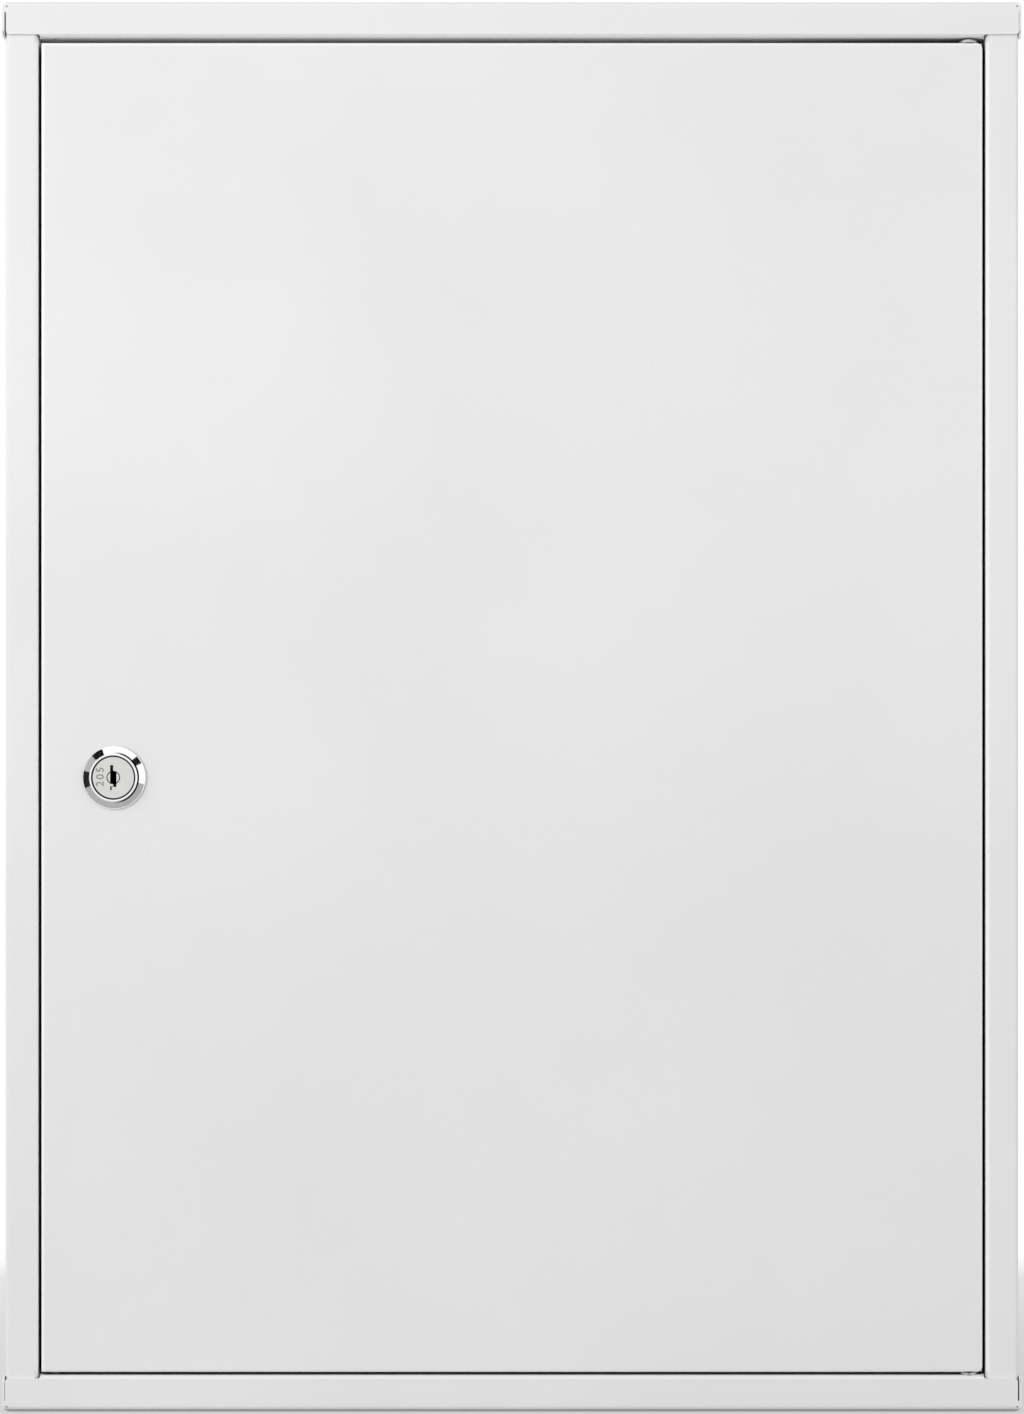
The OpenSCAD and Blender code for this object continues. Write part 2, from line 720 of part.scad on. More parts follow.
// Closed coil spring along +Z
module coil(d, wire, l) {
    steps = spring_turns * spring_steps;
    n = spring_fn;
    points = [for (s = [0 : steps]) each coil_ring(s, steps, (d - wire) / 2, wire / 2, l)];
    walls = [for (s = [0 : steps - 1], k = [0 : n - 1], half = [0, 1])
        let (a = s * n + k, b = s * n + (k + 1) % n)
        half == 0 ? [a, b, b + n] : [a, b + n, a + n]];
    ends = [[for (k = [0 : n - 1]) n - 1 - k], [for (k = [0 : n - 1]) steps * n + k]];
    polyhedron(points, concat(walls, ends));
}

module lock_wafer_springs() {
    color(zinc) on_lock() for (i = [0 : wafer_count - 1])
        translate([spring_x, -ear_z + spring_l, wafer_place(i)])
            rotate([90, 0, 0]) coil(spring_d, spring_wire_d, spring_l);
}

module stop_washer() {
    color(zinc) on_lock() translate([0, 0, cam_front - stop_t]) difference() {
        union() {
            cylinder(r = tab_inner_r - lug_play, h = stop_t);
            for (turned = [0, 180])
                ring_sector(tab_inner_r - cut, tab_outer_r, turned + 90 - tab_angle / 2, tab_angle, stop_t);
        }
        translate([0, 0, -cut]) linear_extrude(height = stop_t + 2 * cut)
            double_d(tail_d + 2 * tail_play, tail_flats + 2 * tail_play);
    }
}

// Cam in its open place, hanging straight down
module lock_cam() {
    hub_over = 1.5;         // how far the round hub stands out at both sides
    hub_d = cam_w + 2 * hub_over;
    tip_r = 3;
    color(zinc) on_lock() translate([0, 0, cam_front]) linear_extrude(height = cam_t) difference() {
        union() {
            circle(d = hub_d);
            difference() {
                strip(-cam_w / 2, 0, cam_w / 2, cam_reach);
                for (side = [-1, 1])
                    corner_cut(side * cam_w / 2, cam_reach, side, 1, tip_r);
            }
        }
        double_d(tail_d + 2 * tail_play, tail_flats + 2 * tail_play);
    }
}

module cam_lock_washer() {
    split_w = 0.5;
    bore_play = 0.15;
    color(zinc) on_lock() translate([0, 0, cam_rear]) difference() {
        ring(lock_washer_d, screw_d + 2 * bore_play, lock_washer_t);
        translate([0, -split_w / 2, -cut]) cube([lock_washer_d, split_w, lock_washer_t + 2 * cut]);
    }
}

module cam_screw() {
    slot_w = 1.1;
    slot_depth = 1.1;
    cross_share = 0.6;      // length of the crossing slot, as a share of the head
    thread_play = 0.02;
    color(zinc) on_lock() difference() {
        union() {
            translate([0, 0, screw_head_front]) cylinder(d = screw_head_d, h = screw_head_h);
            translate([0, 0, screw_tip]) cylinder(d = screw_d - 2 * thread_play, h = screw_l);
        }
        translate([0, 0, lock_rear]) {
            cube([screw_head_d + cut, slot_w, 2 * slot_depth], center = true);
            cube([slot_w, cross_share * screw_head_d, 2 * slot_depth], center = true);
        }
    }
}

// ---- Shelves ----

// Height of the upper face of shelf i, counted from the bottom
function shelf_top(i) = -plate_z + i * shelf_pitch;

module shelf(i) {
    z = shelf_top(i);
    r = shelf_fold_r;
    color(white) along_x(-shelf_x, shelf_x) {
        strip(shelf_front_y, z - shelf_front_h, shelf_front_y + shelf_t, z - r);
        bend(shelf_front_y + r, z - r, r, shelf_t, 1);
        strip(shelf_front_y + r, z - shelf_t, shelf_rear_y - r, z);
        bend(shelf_rear_y - r, z - shelf_t + r, r, shelf_t, 3);
        strip(shelf_rear_y - shelf_t, z - shelf_t + r, shelf_rear_y, z + shelf_rear_h);
    }
}

// Angle welded to the right-hand wall under shelf i
module ledge(i) {
    z = shelf_top(i) - shelf_t;
    r = ledge_fold_r;
    y0 = shelf_front_y + shelf_t + ledge_setback;
    color(white) along_y(y0, -sheet_t - ledge_rear) {
        strip(wall_x - ledge_w, z - ledge_t, wall_x - r, z);
        bend(wall_x - r, z - r, r, ledge_t, 0);
        strip(wall_x - ledge_t, z - ledge_w, wall_x, z - r);
    }
}

side_back_shell();
top_cap();
bottom_cap();
door_panel();
top_hinge_pin();
bottom_hinge_pin();
top_hinge_washer();
bottom_hinge_washer();
lock_housing();
lock_nut();
lock_plug();
lock_wafers();
lock_wafer_springs();
stop_washer();
lock_cam();
cam_lock_washer();
cam_screw();
shelf(1);  // shelf_1
shelf(2);  // shelf_2
shelf(3);  // shelf_3
mirror([1, 0, 0]) ledge(1);  // shelf_ledge_left_1
mirror([1, 0, 0]) ledge(2);  // shelf_ledge_left_2
mirror([1, 0, 0]) ledge(3);  // shelf_ledge_left_3
ledge(1);  // shelf_ledge_right_1
ledge(2);  // shelf_ledge_right_2
ledge(3);  // shelf_ledge_right_3
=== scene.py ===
"""Looks of the lockable wall cabinet: finishes, softened edges, key number, floor, light and camera.

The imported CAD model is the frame. Every size is in metres, every place is in its axes:
+X to the right seen from the front, the front looks along -Y, +Z is up.
"""

import json
import math

import bpy
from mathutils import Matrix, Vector


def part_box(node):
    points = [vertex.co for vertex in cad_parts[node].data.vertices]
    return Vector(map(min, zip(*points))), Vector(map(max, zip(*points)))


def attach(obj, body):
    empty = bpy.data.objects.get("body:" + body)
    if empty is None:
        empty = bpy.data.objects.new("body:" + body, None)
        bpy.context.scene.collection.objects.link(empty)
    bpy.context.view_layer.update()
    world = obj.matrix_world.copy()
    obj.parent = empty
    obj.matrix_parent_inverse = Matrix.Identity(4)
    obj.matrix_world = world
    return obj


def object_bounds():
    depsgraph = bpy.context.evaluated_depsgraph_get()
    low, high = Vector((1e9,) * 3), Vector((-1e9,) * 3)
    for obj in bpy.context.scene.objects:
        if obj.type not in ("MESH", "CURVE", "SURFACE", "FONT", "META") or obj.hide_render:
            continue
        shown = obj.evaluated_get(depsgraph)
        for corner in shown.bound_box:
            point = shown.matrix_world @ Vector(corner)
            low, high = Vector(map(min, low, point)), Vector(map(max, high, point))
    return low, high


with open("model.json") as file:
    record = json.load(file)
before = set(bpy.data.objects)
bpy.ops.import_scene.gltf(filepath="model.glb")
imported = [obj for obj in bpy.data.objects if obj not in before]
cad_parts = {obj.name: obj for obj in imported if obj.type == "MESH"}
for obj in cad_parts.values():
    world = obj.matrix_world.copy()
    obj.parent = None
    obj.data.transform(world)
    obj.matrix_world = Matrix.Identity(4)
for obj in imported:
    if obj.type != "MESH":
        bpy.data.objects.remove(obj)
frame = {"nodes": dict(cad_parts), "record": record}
cad_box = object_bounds()

MM = 0.001
NODES = frame["nodes"]

# Places that the finishes and the camera need, read from the frame
DOOR_LOW, DOOR_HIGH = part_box("door_panel")
CAP_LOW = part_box("top_cap")[0]
PLUG_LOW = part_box("lock_plug")[0]
HOUSING_LOW, HOUSING_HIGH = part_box("lock_housing")
LOCK = Vector(((HOUSING_LOW.x + HOUSING_HIGH.x) / 2, DOOR_LOW.y, (HOUSING_LOW.z + HOUSING_HIGH.z) / 2))
WIDTH = cad_box[1].x - cad_box[0].x
HEIGHT = cad_box[1].z - cad_box[0].z
FOLD = 1.5 * MM                    # outer radius of the folds
RAIL_W = 10.5 * MM                 # side rails, from the outside of the wrap
CAP_RAIL_H = 11.5 * MM
SHEET = 0.7 * MM
OPENING_X = WIDTH / 2 - SHEET - RAIL_W
OPENING_Z = HEIGHT / 2 - CAP_RAIL_H

# Photograph: its size, the object's width in it at the front flanges, and the object's middle
PHOTO_W, PHOTO_H = 1024, 1414
OBJECT_W_PX = 1019.35
OBJECT_CENTRE_PX = (511.9, 706.5)
CAMERA_DISTANCE = 0.8              # from the front of the caps

# Radii on the lock's face, between which shade is painted
LOCK_R = {"bore": 7.1 * MM, "foot_in": 7.65 * MM, "foot_out": 8.1 * MM,
          "outline_in": 10.1 * MM, "outline_out": 11 * MM}


# ---- Small helpers ----

class Finish:
    """One node material, with short calls to add and join its nodes."""

    def __init__(self, name, **shader_values):
        self.material = bpy.data.materials.new(name)
        self.material.use_nodes = True
        self.tree = self.material.node_tree
        self.shader = self.tree.nodes["Principled BSDF"]
        for key, value in shader_values.items():
            self.shader.inputs[key.replace("_", " ")].default_value = value
        self.place = self.add("ShaderNodeTexCoord").outputs["Object"]
        split = self.add("ShaderNodeSeparateXYZ", Vector=self.place)
        self.x, self.y, self.z = split.outputs

    def add(self, kind, settings=None, **inputs):
        """New node; inputs are values or the sockets of other nodes."""
        node = self.tree.nodes.new(kind)
        for key, value in (settings or {}).items():
            setattr(node, key, value)
        for key, value in inputs.items():
            by_index = key[0] == "i" and key[1:].isdigit()
            socket = node.inputs[int(key[1:]) if by_index else key]
            if isinstance(value, bpy.types.NodeSocket):
                self.tree.links.new(value, socket)
            else:
                socket.default_value = value
        return node

    def math(self, operation, a, b=0.0):
        return self.add("ShaderNodeMath", {"operation": operation}, i0=a, i1=b).outputs[0]

    def largest(self, first, *others):
        """The largest of the values."""
        for other in others:
            first = self.math("MAXIMUM", first, other)
        return first

    def product(self, *values):
        """All the values multiplied."""
        total = values[0]
        for value in values[1:]:
            total = self.math("MULTIPLY", total, value)
        return total

    def inverse(self, value):
        """1 where the value is 0, and 0 where it is 1."""
        return self.math("SUBTRACT", 1.0, value)

    def slant(self, a, b):
        """Length of the slant over the sides a and b."""
        return self.math("SQRT", self.math("ADD", self.math("POWER", a, 2.0), self.math("POWER", b, 2.0)))

    def distance(self, a, b):
        """Distance between two points."""
        return self.add("ShaderNodeVectorMath", {"operation": "DISTANCE"}, i0=a, i1=b).outputs["Value"]

    def noise(self, size, detail=2.0, stretch=(1, 1, 1)):
        """Noise whose lumps are about size metres across, stretched along the axes."""
        place = self.add("ShaderNodeMapping", i3=stretch, Vector=self.place).outputs[0]
        return self.add("ShaderNodeTexNoise", Vector=place, Scale=0.5 / size, Detail=detail).outputs["Fac"]

    def ramp(self, value, low, high, to_low=0.0, to_high=1.0):
        """value, mapped smoothly from low..high to to_low..to_high."""
        node = self.add("ShaderNodeMapRange", {"interpolation_type": "SMOOTHSTEP"}, Value=value)
        ends = (("From Min", low), ("From Max", high), ("To Min", to_low), ("To Max", to_high))
        for name, number in ends:
            node.inputs[name].default_value = number
        return node.outputs[0]

    def stretched(self, noise, to_low=0.0, to_high=1.0):
        """The noise, whose values hardly leave 0.3..0.7, mapped to to_low..to_high."""
        return self.ramp(noise, 0.3, 0.7, to_low, to_high)

    def mix(self, factor, a, b):
        """Colour between a and b."""
        node = self.add("ShaderNodeMix", {"data_type": "RGBA"})
        for index, value in ((0, factor), (6, a), (7, b)):
            if isinstance(value, bpy.types.NodeSocket):
                self.tree.links.new(value, node.inputs[index])
            else:
                node.inputs[index].default_value = value
        return node.outputs[2]

    def bump(self, height, depth, under=None):
        """Normal of a relief that is depth metres deep, on top of the normal under it."""
        node = self.add("ShaderNodeBump", Height=height, Distance=depth, Strength=1.0)
        if under is not None:
            self.tree.links.new(under, node.inputs["Normal"])
        return node.outputs[0]

    def edges(self, radius):
        """1 on edges that a rounding of that radius would reach, 0 on flat stretches."""
        still_flat, full_edge = 0.995, 0.8    # cosines between the rounded and the straight normal
        rounded = self.add("ShaderNodeBevel", {"samples": 4}, Radius=radius).outputs[0]
        straight = self.add("ShaderNodeNewGeometry").outputs["Normal"]
        same = self.add("ShaderNodeVectorMath", {"operation": "DOT_PRODUCT"}, i0=rounded, i1=straight)
        return self.ramp(same.outputs["Value"], still_flat, full_edge)

    def shaded_gap(self, colour, reach, share_left):
        """The colour, of which that share is left in gaps too narrow for light; open corners keep it."""
        corner_open, gap_open = 0.38, 0.08    # open shares where the darkening starts and is full
        open_share = self.add("ShaderNodeAmbientOcclusion", {"samples": 8}, Distance=reach).outputs["AO"]
        narrow = self.ramp(open_share, corner_open, gap_open)
        return self.mix(self.product(narrow, self.inverse(share_left)), colour, grey(0.0))

    def lock_radius(self):
        """Distance from the lock's axis."""
        flat = self.add("ShaderNodeCombineXYZ", X=self.x, Z=self.z).outputs[0]
        return self.distance(flat, (LOCK.x, 0, LOCK.z))

    def behind(self, y, soft):
        """0 in front of y, 1 from soft metres behind it."""
        return self.ramp(self.y, y, y + soft)

    def finish(self, colour=None, roughness=None, normal=None):
        """Join the results to the shader."""
        for name, value in (("Base Color", colour), ("Roughness", roughness), ("Normal", normal)):
            if value is not None:
                self.tree.links.new(value, self.shader.inputs[name])
        return self.material


def grey(value):
    """Opaque grey, as a colour for a socket."""
    return (value, value, value, 1)


def photo_place(px, py, y):
    """Point of the object at depth y that shows at a pixel of the photograph."""
    scale = WIDTH / OBJECT_W_PX * (CAMERA_DISTANCE + y - CAP_LOW.y) / CAMERA_DISTANCE
    return Vector(((px - OBJECT_CENTRE_PX[0]) * scale, y, (OBJECT_CENTRE_PX[1] - py) * scale))


# ---- Finishes ----

# Specks in the coat and soft dents in the sheet: pixel of the photograph and size in millimetres
SPECKS = (((192, 333), 0.35), ((213, 380), 0.3), ((632, 315), 0.4), ((652, 366), 0.3), ((290, 546), 0.3),
          ((148, 853), 0.35), ((160, 861), 0.3), ((917, 131), 0.3))
DENTS = (((645, 433), 6), ((345, 590), 5), ((443, 1028), 5), ((527, 1023), 4), ((600, 1020), 5))


def marks(f, spots):
    """1 at the middle of each spot, falling to 0 at its rim."""
    shares = []
    for (px, py), size in spots:
        centre = photo_place(px, py, DOOR_LOW.y)
        shares.append(f.ramp(f.distance(f.place, centre), size * MM, 0.0))
    return f.largest(*shares)


def edge_of_door(f):
    """Distance from the door's outline, seen from the front."""
    side = f.math("SUBTRACT", DOOR_HIGH.x, f.math("ABSOLUTE", f.x))
    top = f.math("SUBTRACT", DOOR_HIGH.z, f.z)
    bottom = f.math("SUBTRACT", f.z, DOOR_LOW.z)
    return f.math("MINIMUM", side, f.math("MINIMUM", top, bottom))


def edge_of_rail(f):
    """Distance from the side rails' inner front edges; far away behind, above and below them."""
    side = f.math("ABSOLUTE", f.math("SUBTRACT", f.math("ABSOLUTE", f.x), OPENING_X))
    past_end = f.ramp(f.math("ABSOLUTE", f.z), OPENING_Z - 2 * MM, OPENING_Z, 0.0, FOLD)
    past_front = f.product(f.behind(CAP_LOW.y + 2 * FOLD, FOLD), FOLD)
    return f.math("ADD", side, f.math("ADD", past_end, past_front))


def weld_spots(f):
    """1 in the middle of each weld dimple on the caps' side flanges, 0 outside them."""
    pitch, dimple_r, from_end = 30 * MM, 2.2 * MM, 6 * MM
    along = f.math("PINGPONG", f.math("ADD", f.y, pitch / 2), pitch / 2)
    across = f.math("SUBTRACT", f.math("ABSOLUTE", f.z), HEIGHT / 2 - from_end)
    away = f.slant(along, across)
    outside = f.ramp(f.math("ABSOLUTE", f.x), WIDTH / 2 - 0.3 * MM, WIDTH / 2 - 0.1 * MM)
    return f.product(f.ramp(away, dimple_r, 0.6 * dimple_r), outside)


def front_of_caps(f):
    """1 on the caps' front, 0 from 3 mm behind it."""
    return f.ramp(f.y, CAP_LOW.y + 3 * MM, CAP_LOW.y + 2 * MM)


def corner_pinhole_shade(f):
    """1 in the pinholes where the three front folds of a cap's corner meet, where their shade is painted; 0
    outside them.
    """
    from_side, from_end, pit_r = 1.4 * MM, 1.7 * MM, 0.38 * MM
    across = f.math("SUBTRACT", f.math("ABSOLUTE", f.x), WIDTH / 2 - from_side)
    up = f.math("SUBTRACT", f.math("ABSOLUTE", f.z), HEIGHT / 2 - from_end)
    away = f.slant(across, up)
    return f.product(f.ramp(away, pit_r, 0.6 * pit_r), front_of_caps(f))


def gap_light(f):
    """Share of the coat's colour left in narrow gaps: most over the door, little beside it and left."""
    beside_door, over_lock_side, over_hinge, in_left_seam = 0.03, 0.85, 0.3, 0.15
    over_door = f.ramp(f.z, OPENING_Z - 4 * MM, OPENING_Z - 1 * MM, beside_door, 1.0)
    towards_hinge = f.ramp(f.x, 60 * MM, 145 * MM, over_lock_side, over_hinge)
    past_hinge = f.ramp(f.x, OPENING_X - 0.3 * MM, OPENING_X + 0.7 * MM)
    left_seam = f.ramp(f.x, 1 * MM - WIDTH / 2, 2 * MM - WIDTH / 2, in_left_seam, 1.0)
    return f.product(over_door, f.largest(towards_hinge, past_hinge), left_seam)


def top_fold_painted_shade(f):
    """1 on the last strip of the top cap's front fold, which turns away from the light; shade is painted
    there.
    """
    strip_h = 0.5 * MM
    return f.product(f.ramp(f.z, HEIGHT / 2 - strip_h, HEIGHT / 2 - 0.3 * strip_h), front_of_caps(f))


def powder_coat(name, painted_highlight_distance=None, marked=False, welds_and_painted_shade=False):
    """White satin powder coat on thin sheet: faint clouds, orange peel, wear along cut edges; a painted
    highlight along the folds, and painted shade in narrow gaps, on the top fold and in the corner pinholes.
    """
    thin, thick, grain, painted_fold_highlight = grey(0.83), grey(0.86), grey(0.74), grey(0.96)
    worn, speck, top_fold_shade_tone, pinhole_shade_tone = (0.6, 0.6, 0.59, 1), grey(0.5), grey(0.45), grey(0.12)
    warp_depth, dent_depth, dimple_depth, peel_depth = 0.25 * MM, 0.03 * MM, 0.12 * MM, 0.006 * MM
    gap_reach = 4 * MM

    f = Finish(name, Specular_IOR_Level=0.4)
    clouds = f.stretched(f.noise(60 * MM, 3.0))
    colour = f.mix(clouds, thin, thick)
    colour = f.mix(f.ramp(f.noise(1.2 * MM), 0.62, 0.8, 0.0, 0.12), colour, grain)
    # Painted highlight: the coat is made lighter along the folds, for the light they catch
    if painted_highlight_distance:
        fold = f.ramp(painted_highlight_distance(f), FOLD, 0.35 * FOLD)
        colour = f.mix(fold, colour, painted_fold_highlight)
    wear = f.product(f.edges(0.25 * MM), f.ramp(f.noise(4 * MM, 4.0), 0.45, 0.7))
    colour = f.mix(f.product(wear, 0.35), colour, worn)
    if marked:
        colour = f.mix(f.product(marks(f, SPECKS), 0.35), colour, speck)
    # Painted shade on the top cap's front fold and in the corner pinholes; the weld dimples below are bumps
    if welds_and_painted_shade:
        colour = f.mix(f.product(top_fold_painted_shade(f), 0.6), colour, top_fold_shade_tone)
        colour = f.mix(f.product(corner_pinhole_shade(f), 0.8), colour, pinhole_shade_tone)
    colour = f.shaded_gap(colour, gap_reach, gap_light(f))

    rough = f.stretched(f.noise(9 * MM, 3.0), 0.36, 0.46)
    rough = f.math("SUBTRACT", rough, f.product(wear, 0.08))

    normal = f.bump(f.noise(90 * MM, 1.0), warp_depth)
    if marked:
        normal = f.bump(f.inverse(marks(f, DENTS)), dent_depth, normal)
    if welds_and_painted_shade:
        normal = f.bump(f.inverse(weld_spots(f)), dimple_depth, normal)
    normal = f.bump(f.noise(1.1 * MM, 1.5), peel_depth, normal)
    return f.finish(colour, rough, normal)


def zinc_plate(name):
    """Bright zinc plate: cloudy spangle, dark specks, light scratches, brighter worn edges."""
    dull, bright = (0.42, 0.43, 0.45, 1), (0.62, 0.63, 0.63, 1)
    speck, worn = (0.16, 0.16, 0.17, 1), (0.84, 0.84, 0.83, 1)
    f = Finish(name, Metallic=1.0)
    cloud = f.noise(1.5 * MM, 3.0)
    colour = f.mix(f.stretched(cloud), dull, bright)
    colour = f.mix(f.ramp(f.noise(0.7 * MM), 0.55, 0.68, 0.0, 0.7), colour, speck)
    colour = f.mix(f.product(f.edges(0.15 * MM), 0.4), colour, worn)
    scratches = f.noise(0.5 * MM, 4.0, (1, 1, 0.08))
    rough = f.stretched(scratches, 0.24, 0.42)
    return f.finish(colour, rough, f.bump(scratches, 0.004 * MM))


def ring_on_lock(f, inner_r, outer_r, soft, deeper_than):
    """1 between two radii round the lock's axis, behind the rim's face by a depth, softly at each end."""
    soft_depth = 0.12 * MM
    radius = f.lock_radius()
    inside = f.ramp(radius, outer_r + soft, outer_r)
    outside = f.ramp(radius, inner_r - soft, inner_r)
    return f.product(inside, outside, f.behind(HOUSING_LOW.y + deeper_than, soft_depth))


def bezel_painted_shade(f):
    """Painted shade on the bezel: round the plug, and on the right a painted dark reflection at the rim's
    foot and a painted contact shadow along the outer edge.
    """
    bore = ring_on_lock(f, 0.0, LOCK_R["bore"], 0.1 * MM, 0.08 * MM)
    foot = ring_on_lock(f, LOCK_R["foot_in"], LOCK_R["foot_out"], 0.15 * MM, 0.25 * MM)
    outline = ring_on_lock(f, LOCK_R["outline_in"], LOCK_R["outline_out"], 0.15 * MM, 1 * MM)
    outline_share = 0.35
    foot_right = f.product(foot, f.ramp(f.x, LOCK.x - 0.5 * MM, LOCK.x + 3.5 * MM))
    outline_right = f.product(outline, f.ramp(f.x, LOCK.x, LOCK.x + 5 * MM, 0.0, outline_share))
    return f.largest(bore, foot_right, outline_right)


def lock_chrome(name):
    """Polished chrome on the bezel, with painted shade in its corners; behind the door a duller thread."""
    smeared, polished, unplated, painted_shade_tone = (0.9, 0.9, 0.91, 1), grey(0.96), (0.62, 0.61, 0.6, 1), grey(0.015)
    thread_pitch, thread_depth = 1 * MM, 0.35 * MM
    f = Finish(name, Metallic=1.0)
    inside = f.behind(DOOR_LOW.y + 0.4 * MM, 0.4 * MM)
    smear = f.noise(2.5 * MM, 3.0)
    colour = f.mix(inside, f.mix(smear, smeared, polished), unplated)
    # Painted shade and painted dark reflection on the bezel, darker on the right
    colour = f.mix(f.product(bezel_painted_shade(f), f.inverse(inside)), colour, painted_shade_tone)
    rough = f.math("ADD", f.ramp(smear, 0.35, 0.75, 0.05, 0.1), f.product(inside, 0.25))
    wave = f.math("PINGPONG", f.y, thread_pitch / 2)
    height = f.product(wave, 2 / thread_pitch, inside)
    return f.finish(colour, rough, f.bump(height, thread_depth))


def plug_nickel(name, tone=1.0):
    """Satin nickel face with fine turning rings; painted shade fills its groove, slot and edge.

    The tone scales the metal's colour: below 1 for the darker stamped digits.
    """
    low, high, yellowed = 0.66 * tone, 0.8 * tone, 0.98
    worn, painted_shade_tone = (0.88 * tone, 0.87 * tone, 0.84 * tone, 1), grey(0.01)
    rings_per_metre, ring_depth = 9000.0, 0.004 * MM
    f = Finish(name, Metallic=0.9)
    rings = f.add("ShaderNodeTexNoise", {"noise_dimensions": "1D"}, W=f.lock_radius(), Scale=rings_per_metre,
                  Detail=2.0).outputs["Fac"]
    cloud = f.noise(2 * MM, 4.0)
    colour = f.mix(cloud, (low, low, yellowed * low, 1), (high, high, yellowed * high, 1))
    colour = f.mix(f.product(f.edges(0.15 * MM), 0.5), colour, worn)
    in_barrel = f.inverse(f.behind(HOUSING_HIGH.y - 1 * MM, 1 * MM))
    recess = f.product(f.behind(PLUG_LOW.y + 0.02 * MM, 0.06 * MM), in_barrel)
    # Painted shade: the plug's recesses are coloured near black
    colour = f.mix(f.product(recess, 0.98), colour, painted_shade_tone)
    rough = f.largest(f.stretched(cloud, 0.34, 0.46), f.product(recess, 0.8))
    return f.finish(colour, rough, f.bump(rings, ring_depth))


def wafer_nickel(name):
    """Stamped nickel silver: faintly warm, lightly tarnished, with the grain of the rolled strip."""
    clean, tarnished = (0.78, 0.77, 0.74, 1), (0.5, 0.48, 0.45, 1)
    f = Finish(name, Metallic=1.0)
    tarnish = f.ramp(f.noise(1.5 * MM, 4.0), 0.35, 0.75)
    colour = f.mix(tarnish, clean, tarnished)
    grain = f.noise(0.15 * MM, 2.0, (1, 1, 0.1))
    return f.finish(colour, f.stretched(grain, 0.28, 0.42), f.bump(grain, 0.003 * MM))


def spring_wire(name):
    """Drawn wire: dark steel with fine upright die lines."""
    dark, bright = (0.42, 0.42, 0.44, 1), grey(0.66)
    f = Finish(name, Metallic=1.0)
    lines = f.noise(0.08 * MM, 2.0, (1, 1, 0.2))
    colour = f.mix(lines, dark, bright)
    return f.finish(colour, f.stretched(lines, 0.25, 0.4), f.bump(lines, 0.002 * MM))


FINISHES = {
    "cabinet_paint": powder_coat("cabinet_paint", edge_of_rail, welds_and_painted_shade=True),
    "door_paint": powder_coat("door_paint", edge_of_door, marked=True),
    "shelf_paint": powder_coat("shelf_paint"),
    "zinc_steel": zinc_plate("zinc_steel"),
    "lock_chrome": lock_chrome("lock_chrome"),
    "plug_nickel": plug_nickel("plug_nickel"),
    "wafer_nickel": wafer_nickel("wafer_nickel"),
    "spring_steel": spring_wire("spring_steel"),
}


# ---- CAD nodes: finishes and softened edges ----

def soften(obj, width):
    """Round the sharp edges by a hair, as plating and paint do, and shade across the folds."""
    weld = obj.modifiers.new("weld", "WELD")
    weld.merge_threshold = 1e-7
    flat = obj.modifiers.new("flat", "DECIMATE")
    flat.decimate_type = "DISSOLVE"
    flat.angle_limit = math.radians(0.5)
    bevel = obj.modifiers.new("bevel", "BEVEL")
    bevel.width = width
    bevel.segments = 2
    bevel.limit_method = "ANGLE"
    bevel.angle_limit = math.radians(35)
    normals = obj.modifiers.new("normals", "WEIGHTED_NORMAL")
    normals.keep_sharp = False


EDGE_ROUND = {"cabinet_paint": 0.12 * MM, "door_paint": 0.12 * MM, "shelf_paint": 0.12 * MM,
              "zinc_steel": 0.06 * MM, "lock_chrome": 0.05 * MM, "plug_nickel": 0.05 * MM,
              "wafer_nickel": 0.04 * MM}

for part in frame["record"]["subparts"]:
    node = NODES[part["node"]]
    slot = part["material_slot"]
    node.data.materials.clear()
    node.data.materials.append(FINISHES[slot])
    if slot in EDGE_ROUND:
        soften(node, EDGE_ROUND[slot])


# ---- Key number on the plug ----

def key_number():
    """Plain digits beside the key slot, reading upwards."""
    digits = "205"
    digit_share = 0.7                  # height of a digit as a share of the font's size
    height = 2.4 * MM
    proud = 0.015 * MM
    bolder_by = 0.05 * MM
    from_axis, raised_by = 4.1 * MM, 0.25 * MM
    curve = bpy.data.curves.new("key_number", "FONT")
    curve.body = digits
    curve.align_x = "CENTER"
    curve.align_y = "CENTER"
    curve.size = height / digit_share
    curve.extrude = proud
    curve.offset = bolder_by
    curve.space_character = 1.3
    text = bpy.data.objects.new("key_number_outline", curve)
    bpy.context.scene.collection.objects.link(text)
    bpy.context.view_layer.update()
    mesh = bpy.data.meshes.new_from_object(text)
    bpy.data.objects.remove(text)
    mesh.name = "key_number"
    obj = bpy.data.objects.new("key_number", mesh)
    bpy.context.scene.collection.objects.link(obj)
    obj.rotation_euler = (math.pi / 2, -math.pi / 2, 0)
    obj.location = (LOCK.x - from_axis, PLUG_LOW.y, LOCK.z + raised_by)
    mesh.materials.clear()
    mesh.materials.append(plug_nickel("stamped_digits", 0.42))
    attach(obj, "lock_rotor")


key_number()


# ---- Stage ----

def share_of_rays(tree, *kinds):
    """1 for rays of any of the kinds, 0 for the rest."""
    path = tree.nodes.new("ShaderNodeLightPath")
    total = path.outputs[kinds[0]]
    for kind in kinds[1:]:
        either = tree.nodes.new("ShaderNodeMath")
        either.operation = "MAXIMUM"
        tree.links.new(total, either.inputs[0])
        tree.links.new(path.outputs[kind], either.inputs[1])
        total = either.outputs[0]
    return total


